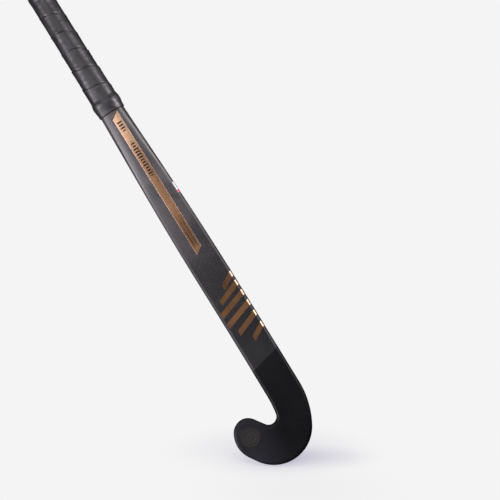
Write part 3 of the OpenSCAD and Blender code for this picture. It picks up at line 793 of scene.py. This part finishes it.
def film(name, places, runs, slot, stands_for, back=False, lift=FILM_LIFT, thick=FILM_T):
    """A closed thin film. places and runs: grids of the rows' places and distances round."""
    places, runs = np.broadcast_arrays(np.asarray(places, float), np.asarray(runs, float))
    rows, cols = runs.shape
    layers = []
    for up in (lift, lift + thick):
        flat = np.zeros((rows, cols, 3))
        for i, j in np.ndindex(rows, cols):
            if j and places[i, j] == places[i, 0]:
                continue
            same = places[i] == places[i, j]
            flat[i, same] = skin_point(place_station(places[i, j]), runs[i, same], up, back)
        layers.append(flat.reshape(-1, 3))
    flat = np.concatenate(layers)
    n = rows * cols
    top, under = grid_faces(rows, cols, n), grid_faces(rows, cols, 0, True)
    rim = (list(range(cols)) + [i * cols + cols - 1 for i in range(1, rows)]
           + [(rows - 1) * cols + j for j in range(cols - 2, -1, -1)]
           + [i * cols for i in range(rows - 2, 0, -1)])
    wall = [[a, b, b + n, a + n] for a, b in zip(rim, rim[1:] + rim[:1])]
    grid = np.stack([places.ravel(), runs.ravel(), np.zeros(n)], 1)
    return piece(name, bend(flat), top + under + wall, slot, stands_for, flat,
                 np.concatenate([grid, grid]))


# ---- Grip, finishing band -----------------------------------------------------------------------

GRIP_LO, TAPE_LO, BAND_HI = 523, 532, 545
PITCH, LINER_T, TAPE_T, LIP = 27, 0.3, 1.5, 0.8
FIRST_SEAM = GRIP_LO + 14
# How far a seam wanders, in short and long waves, and how much the tape's thickness varies
RAGGED, SWAY, SWELL = 0.35, 1.6, 0.35
# The tape's height across one turn, from its upper edge down to the lip that overlaps the next
LIP_AT = (0, 0.012, 0.04, 0.3, 0.6, 0.85, 0.92, 0.952, 0.97, 0.982, 0.991, 1)
LIP_SHARE = (-0.4, -0.3, 0.08, 0.14, 0.36, 0.76, 0.92, 0.97, 0.88, 0.45, -0.15, -0.4)
TURN_STEPS = np.array([0, 0.012, 0.04, 0.09, 0.16, 0.23, 0.3, 0.37, 0.44, 0.51, 0.58, 0.65, 0.72,
                       0.785, 0.85, 0.89, 0.92, 0.938, 0.952, 0.962, 0.97, 0.976, 0.982, 0.991])


def waves(seed, count, turns):
    """A smooth random wave round the handle that doesn't repeat from turn to turn."""
    rng = np.random.default_rng(seed)
    rates = rng.uniform(0.6, turns, count)
    phases = rng.uniform(0, 2 * math.pi, count)
    return lambda a: sum(np.sin(np.radians(a) * k + f) for k, f in zip(rates, phases)) / count


def ring_tables(heights, grow):
    return np.array([full_ring(shaft_station(p), grow) for p in heights])


def build_grip():
    heights = np.linspace(TAPE_LO, CAP_P, 60)
    low = ring_tables(heights, LINER_T + TAPE_T)
    high = ring_tables(heights, LINER_T + TAPE_T + LIP)
    inner = ring_tables([TAPE_LO, CAP_P], LINER_T + 0.01)
    cols, per_turn = low.shape[1], len(TURN_STEPS)
    middle = low[len(heights) // 2]
    angle = np.degrees(np.unwrap(np.arctan2(middle[:, 1], middle[:, 0]), period=2 * math.pi))
    angle += -90 - angle[0]
    ragged, sway, swell = waves(3, 7, 30), waves(5, 4, 3), waves(8, 6, 5)

    def at(p, share):
        """Points on the tape at heights p, one for each angle."""
        k = np.clip((p - TAPE_LO) / (CAP_P - TAPE_LO) * (len(heights) - 1), 0, len(heights) - 1.001)
        i, f, j = k.astype(int), (k % 1)[:, None], np.arange(cols)
        base = low[i, j] * (1 - f) + low[i + 1, j] * f
        top = high[i, j] * (1 - f) + high[i + 1, j] * f
        q = base + (top - base) * share[:, None]
        return np.column_stack([q[:, 0], p, q[:, 1]])

    first = math.floor((TAPE_LO - FIRST_SEAM) / PITCH) - 1
    turns = math.ceil((CAP_P - FIRST_SEAM) / PITCH) + 2 - first
    flats, rounds = [], []
    for row in range(turns * per_turn + 1):
        t = TURN_STEPS[row % per_turn]
        s = first + row // per_turn + t
        true_p = FIRST_SEAM + PITCH * (s - (angle + 90) / 360)
        spiral = 360 * s - angle
        near_lip = np.interp(t, (0, 0.1, 0.85, 0.95, 1), (1, 0, 0, 1, 1))
        p = np.clip(true_p + near_lip * (RAGGED * ragged(spiral) + SWAY * sway(spiral)),
                    TAPE_LO, CAP_P)
        here = np.where((p > TAPE_LO) & (p < CAP_P), t,
                        ((p - FIRST_SEAM) / PITCH + (angle + 90) / 360) % 1)
        fade = ease(p, BAND_HI, BAND_HI + 8) * (1 - ease(p, CAP_P - 8, CAP_P))
        share = fade * (np.interp(here, LIP_AT, LIP_SHARE) + SWELL * swell(spiral * 1.3))
        flats.append(at(p, share))
        rounds.append(np.column_stack([here, angle, s + 0 * p]))
    n = len(flats)
    flat = np.concatenate(flats)
    i, j = np.meshgrid(np.arange(n - 1), np.arange(cols), indexing="ij")
    last = j == cols - 1
    keep = ~last | (i >= per_turn)
    i, j, last = i[keep], j[keep], last[keep]
    side = np.where(last, (i - per_turn) * cols, i * cols + j + 1)
    quads = np.stack([i * cols + j, side, side + cols, (i + 1) * cols + j], 1)
    p = flat[:, 1][quads]
    quads = quads[~((p <= TAPE_LO).all(1) | (p >= CAP_P).all(1))]
    none = np.zeros(cols)
    ends = [at(none + CAP_P, none), np.column_stack([inner[1][:, 0], none + CAP_P, inner[1][:, 1]]),
            np.column_stack([inner[0][:, 0], none + TAPE_LO, inner[0][:, 1]]),
            at(none + TAPE_LO, none)]
    faces = quads.tolist() + tube_faces(4, cols, len(flat))
    extra = np.tile(np.column_stack([none + 0.5, angle, none]), (4, 1))
    obj = piece("grip", bend(np.concatenate([flat] + ends)), faces, "grip_tape",
                ["grip_tape"], np.concatenate([flat] + ends), np.concatenate(rounds + [extra]))
    weld(obj)
    return obj


def weld(obj, reach=2e-6):
    """Joins the points that lie in one place, and drops the faces that this leaves empty."""
    shape = bmesh.new()
    shape.from_mesh(obj.data)
    bmesh.ops.remove_doubles(shape, verts=shape.verts, dist=reach)
    bmesh.ops.dissolve_degenerate(shape, edges=shape.edges, dist=reach)
    loose = [v for v in shape.verts if not v.link_faces]
    bmesh.ops.delete(shape, geom=loose, context="VERTS")
    shape.to_mesh(obj.data)
    shape.free()


def build_band():
    heights = np.concatenate([[0, 0.15, 0.4, 0.8, 1.3, 2], np.arange(2.75, 22.1, 0.75)])
    wrinkle, crease = waves(21, 6, 6), waves(22, 5, 9)
    flats, rounds = [], []
    for h in heights:
        s = shaft_station(GRIP_LO + h)
        bulge = (0.5 + math.sin(math.pi / 2 * min(1, h / 1.3)) + 1.6 * float(ease(h, 2, 15.5))
                 - 0.9 * float(ease(h, 16, 22)))
        ring = full_ring(s, bulge)
        angle = np.degrees(np.arctan2(ring[:, 1], ring[:, 0]))
        height = (0.10 * wrinkle(2 * angle + 9 * h) + 0.08 * crease(angle - 40 * h)) * ease(h, 0, 4)
        flats.append(lay_row(s, ring, height))
        rounds.append(np.column_stack([0 * angle + h, angle, 0 * angle]))
    over = LINER_T + TAPE_T + 0.1
    for h, grow in ((22, over), (TAPE_LO - GRIP_LO, over), (TAPE_LO - GRIP_LO, 0.02), (0, 0.02)):
        s = shaft_station(GRIP_LO + h)
        flats.append(laid(s, full_ring(s, grow)))
        rounds.append(rounds[-1])
    rows, cols = len(flats), len(flats[0])
    ends = [[j, (j + 1) % cols, (rows - 1) * cols + (j + 1) % cols, (rows - 1) * cols + j][::-1]
            for j in range(cols)]
    flat = np.concatenate(flats)
    return piece("band", bend(flat), tube_faces(rows, cols) + ends, "band_tape",
                 ["grip_end_tape"], flat, np.concatenate(rounds))


# ---- Films and labels ---------------------------------------------------------------------------

def strip(name, lo, hi, a, b, slot, stands_for, rise=0.0, back=False, lift=FILM_LIFT, step=2.0,
          across=12):
    """A film from height lo to hi, between distances a and b, with ends that rise towards b."""
    rows = np.linspace(lo, hi, max(3, int((hi - lo) / step) + 1))[:, None]
    share = np.linspace(0, 1, across + 1)[None, :]
    return film(name, rows + rise * (share - 0.5), a + (b - a) * share, slot, stands_for, back,
                lift)


def joined(name, objects):
    """One piece from several that share a material and stand for one node."""
    node = list(objects[0].get("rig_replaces"))
    for obj in objects:
        obj.parent = None
    bpy.ops.object.select_all(action="DESELECT")
    for obj in objects:
        obj.select_set(True)
    bpy.context.view_layer.objects.active = objects[0]
    bpy.ops.object.join()
    objects[0].name = name
    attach(objects[0], "root")
    return objects[0]


def build_films():
    strip("face_band", *FACE_BAND, FACE_BAND_X - FOIL_W / 2, FACE_BAND_X + FOIL_W / 2,
          "copper_foil", ["face_foil_band"], rise=FACE_BAND_RISE)
    stripes = []
    for i in range(STRIPES):
        low = STRIPE_LO + STRIPE_PITCH * i
        start = STRIPE_START - STRIPE_SWELL * math.sin(math.pi * (i + 0.5) / STRIPES)
        stripes.append(strip(f"stripe_{i}", low, low + STRIPE_W, start, WRAP_S, "copper_foil",
                             ["face_foil_stripes"], rise=STRIPE_RISE, step=0.9, across=44))
    joined("face_stripes", stripes)
    half = FOIL_W / 2 - 0.3
    strip("back_strip", *BACK_STRIP, -half, half, "strip_film", ["back_centre_strip"], back=True)
    strip("back_band", *BACK_BAND, -half, half, "copper_foil", ["back_foil_band"],
          rise=BACK_BAND_RISE, back=True, lift=OVER_STRIP, across=16)
    lozenges = []
    for i in range(LOZENGES):
        low = LOZENGE_LO + LOZENGE_PITCH * i
        lozenges.append(strip(f"lozenge_{i}", low, low + LOZENGE_LEN, -LOZENGE_W / 2,
                              LOZENGE_W / 2, "copper_print", ["back_lozenges"],
                              rise=LOZENGE_RISE, back=True, step=0.8))
    joined("back_lozenge_row", lozenges)
    bars = []
    for i in range(BAR_ROWS):
        low = BAR_LO + BAR_PITCH * i
        for k, ends in enumerate(BAR_ENDS):
            bars.append(strip(f"bar_{i}_{k}", low, low + BAR_LEN, *ends, "copper_print",
                              ["back_spec_bars"], back=True, lift=OVER_STRIP, step=1.2, across=4))
    joined("back_bars", bars)
    film("toe_badge", np.linspace(*BADGE_PLACES, 28)[:, None],
         np.linspace(*BADGE_ENDS, 25)[None, :], "copper_print", ["back_toe_badge"], back=True)
    strip("label", *LABEL, *LABEL_ENDS, "label_white", ["edge_label"], step=0.8, across=24)
    strip("label_tab", *TAB, *LABEL_ENDS, "label_red", ["edge_label_tab"], step=0.8, across=24)


def build_touch_film():
    """The matt film over the head's face and its rim, cut off by a slanted line."""
    toe = 1 - np.cos(np.linspace(0.25, np.pi / 2, 24))
    head = np.concatenate([toe, np.linspace(1, 5, 90)[1:]])
    low_end = TOUCH_P - TOUCH_RISE / 2
    shaft = np.concatenate([np.linspace(BLADE_LO + 1, low_end - 6, 14),
                            np.linspace(low_end - 5, low_end, 8)])
    share = np.linspace(-1, 1, 41)
    places, runs = [], []
    for w in np.concatenate([head, shaft]):
        s = place_station(w)
        edge = s.half + s.face * 0.5
        places.append(np.full(len(share), w))
        runs.append(share * edge)
    edge = runs[-1][-1]
    x = np.clip(runs[-1], -HALF_W, HALF_W)
    for k in np.linspace(0, 1, 9)[1:]:
        places.append(low_end + k * TOUCH_RISE * (x + HALF_W) / BLADE_W)
        runs.append(share * edge)
    film("touch_zone", places, runs, "touch_film", ["touch_film"], lift=0.03, thick=0.12)


RING_UP, DISC_STEPS = 0.05, 96


def build_disc():
    """The toe disc: a flat badge with a raised rim and rings, lying in the face."""
    profile = [(2.2, 0), (2.5, RING_UP), (2.8, 0), (8.6, 0), (8.9, RING_UP), (9.3, RING_UP),
               (9.6, 0), (12.2, 0), (12.5, RING_UP), (12.9, RING_UP), (DISC_R - 0.15, 0.03),
               (DISC_R, -0.12), (DISC_R, -DISC_TOP)]
    n = DISC_STEPS
    turns = np.linspace(0, 2 * math.pi, n, endpoint=False)
    flats = []
    for r, up in profile:
        x, p = DISC_AT[0] + r * np.cos(turns), DISC_AT[1] + r * np.sin(turns)
        flats.append(np.column_stack([x, p, np.full(n, -HEAD_T / 2 - DISC_TOP - up)]))
    flat = np.concatenate(flats)
    faces = tube_faces(len(flats), n, flip=True)
    faces.append(list(range(n)))
    faces.append([(len(flats) - 1) * n + j for j in range(n)][::-1])
    piece("toe_disc", bend(flat), faces, "dark_badge", ["face_toe_disc"], flat, None, sharp=30)


# ---- Stage --------------------------------------------------------------------------------------

CAMERA_YAW, CAMERA_RISE, CAMERA_ROLL = 0.6, 3.9, 31.76
CAMERA_AIM, CAMERA_DISTANCE, LENS = (60.0, 0.0, -657.3), 1144.2, 60.6
FLOOR_TILT, FLOOR_RADIUS = 16, 0.5
# Painted soft shadows on the floor, drawn into its material: middle, reach and depth; x to the
# right, y away from the camera
SHADOWS = (((0, 0.04), (0.17, 0.085), 0.30), ((0.05, 0.02), (0.11, 0.04), 0.36),
           ((0.03, -0.06), (0.17, 0.10), 0.09))
LIGHT_DISTANCE, TINT = 2.2, (1.0, 0.94, 1.01)
# Degrees right of the camera and above it, width and height in metres, power in watts, and colour
SOFTBOXES = {
    "left": (-57, 5, 0.7, 1.9, 66, TINT),
    "right": (54, 4, 0.7, 1.7, 62, (1.0, 0.96, 0.98)),
    "above": (0, 75, 1.6, 1.0, 20, TINT),
    "front": (-6, 16, 1.6, 0.5, 2, TINT),
    "high": (-8, 25, 0.9, 0.7, 9, TINT),
}
BACKGROUND, FILL, SHADOW_TONE = 0.9047, 0.05, (0.45, 0.435, 0.57)


def camera_axes():
    """Right, up and back of the camera, in the stick's frame."""
    yaw, rise, roll = (math.radians(v) for v in (CAMERA_YAW, CAMERA_RISE, CAMERA_ROLL))
    back = Vector((math.sin(yaw) * math.cos(rise), -math.cos(yaw) * math.cos(rise),
                   math.sin(rise)))
    right = Vector((0, 0, 1)).cross(back).normalized()
    up = back.cross(right)
    return (right * math.cos(roll) - up * math.sin(roll),
            up * math.cos(roll) + right * math.sin(roll), back)


def frame_matrix(x, y, z, place):
    turned = Matrix((x, y, z)).transposed().to_4x4()
    turned.translation = place
    return turned


def make_camera():
    right, up, back = camera_axes()
    data = bpy.data.cameras.new("camera")
    data.lens, data.sensor_width = LENS, 36
    data.clip_start, data.clip_end = 0.05, 50
    obj = added("camera", data)
    place = (Vector(CAMERA_AIM) + back * CAMERA_DISTANCE) * MM
    obj.matrix_world = frame_matrix(right, up, back, place)
    bpy.context.scene.camera = obj


def soft_light(name, rig, right, up, width, height, power, tint):
    """A softbox on the rig, right and up degrees away from the camera's own direction."""
    data = bpy.data.lights.new(name, "AREA")
    data.shape, data.size, data.size_y = "RECTANGLE", width, height
    data.energy, data.color = power, tint
    obj = added(name, data)
    right, up = math.radians(right), math.radians(up)
    way = Vector((math.sin(right) * math.cos(up), math.sin(up), math.cos(right) * math.cos(up)))
    obj.parent = rig
    obj.location = way * LIGHT_DISTANCE
    obj.rotation_mode = "QUATERNION"
    obj.rotation_quaternion = way.to_track_quat("Z", "Y")


def make_lights():
    """Softboxes round the stick that turn with the camera, so that each view is lit alike."""
    rig = added("light_rig", None)
    low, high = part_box("laminate_shell")
    rig.location = (low + high) / 2
    follow = rig.constraints.new("TRACK_TO")
    follow.target = bpy.context.scene.camera
    follow.track_axis, follow.up_axis = "TRACK_Z", "UP_Y"
    for name, settings in SOFTBOXES.items():
        soft_light(name, rig, *settings)


def make_world():
    world = bpy.data.worlds.new("studio")
    bpy.context.scene.world = world
    world.use_nodes = True
    tree = world.node_tree
    seen, lit = tree.nodes["Background"], tree.nodes.new("ShaderNodeBackground")
    seen.inputs["Color"].default_value = (BACKGROUND, BACKGROUND, BACKGROUND, 1)
    lit.inputs["Color"].default_value = (1.0, 1.0, 1.0, 1)
    lit.inputs["Strength"].default_value = FILL
    path, join = tree.nodes.new("ShaderNodeLightPath"), tree.nodes.new("ShaderNodeMixShader")
    tree.links.new(path.outputs["Is Camera Ray"], join.inputs[0])
    tree.links.new(lit.outputs[0], join.inputs[1])
    tree.links.new(seen.outputs[0], join.inputs[2])
    tree.links.new(join.outputs[0], tree.nodes["World Output"].inputs["Surface"])


def make_floor():
    """A pale floor under the head, level in the main view, with a painted soft shadow where they
    touch.
    """
    right, up, back = camera_axes()
    tilt = math.radians(FLOOR_TILT)
    normal = up * math.cos(tilt) + back * math.sin(tilt)
    ahead = right.cross(normal)
    points = [obj.matrix_world @ v.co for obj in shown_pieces() for v in obj.data.vertices]
    lowest = min(points, key=lambda v: v.dot(normal))
    half = FLOOR_RADIUS
    mesh = bpy.data.meshes.new("floor")
    mesh.from_pydata([(-half, -half, 0), (half, -half, 0), (half, half, 0), (-half, half, 0)], [],
                     [(0, 1, 2, 3)])
    obj = added("floor", mesh)
    obj.matrix_world = frame_matrix(right, -ahead, normal, lowest)
    mesh.materials.append(floor_material())


def floor_material():
    """Shows the backdrop's own tone with a painted soft shadow on it, and fades out all round."""
    m = Shader("floor", roughness=0.9)
    hidden = m.span(m.length(m.place), 0.1, FLOOR_RADIUS * 0.95)
    # Painted shadow: ambient occlusion near the head and the SHADOWS ellipses darken the emission
    # toward SHADOW_TONE; no lamp casts it.
    shade = m.node("ShaderNodeAmbientOcclusion", samples=12)
    shade.inputs["Distance"].default_value = 0.04
    dark = m.times(m.span(shade.outputs["AO"], 0.3, 1.0, 1.0, 0.0), 0.4)
    for middle, reach, depth in SHADOWS:
        apart = m.vectors("SUBTRACT", m.place, (*middle, 0))[0]
        share = m.length(m.vectors("DIVIDE", apart, (*reach, 1))[0])
        dark = m.add(dark, m.span(share, 0.0, 1.0, depth, 0.0))
    dark = m.math("MINIMUM", 1.0, dark)
    glow = m.node("ShaderNodeEmission")
    m.put(glow.inputs["Color"], m.blend(dark, (BACKGROUND,) * 3, SHADOW_TONE))
    clear, join = m.node("ShaderNodeBsdfTransparent"), m.node("ShaderNodeMixShader")
    path = m.node("ShaderNodeLightPath")
    under = m.node("ShaderNodeNewGeometry").outputs["Backfacing"]
    seen = m.times(path.outputs["Is Camera Ray"], m.minus(1.0, hidden))
    m.put(join.inputs[0], m.times(seen, m.minus(1.0, under)))
    m.put(join.inputs[1], clear.outputs[0])
    m.put(join.inputs[2], glow.outputs[0])
    m.put(m.tree.nodes["Material Output"].inputs["Surface"], join.outputs[0])
    return m.material


def dress_hidden_nodes():
    """Procedural materials for the CAD pieces that are shown as they are."""
    slots = {part["node"]: part["material_slot"] for part in frame["record"]["subparts"]}
    for name, obj in frame["nodes"].items():
        if obj.hide_render:
            continue
        obj.data.materials.clear()
        obj.data.materials.append(MATERIALS[slots[name]])


build_skin()
build_grip()
build_band()
build_films()
build_touch_film()
build_disc()
dress_hidden_nodes()
make_camera()
make_lights()
make_world()
make_floor()
bpy.context.scene.view_settings.view_transform = "Standard"
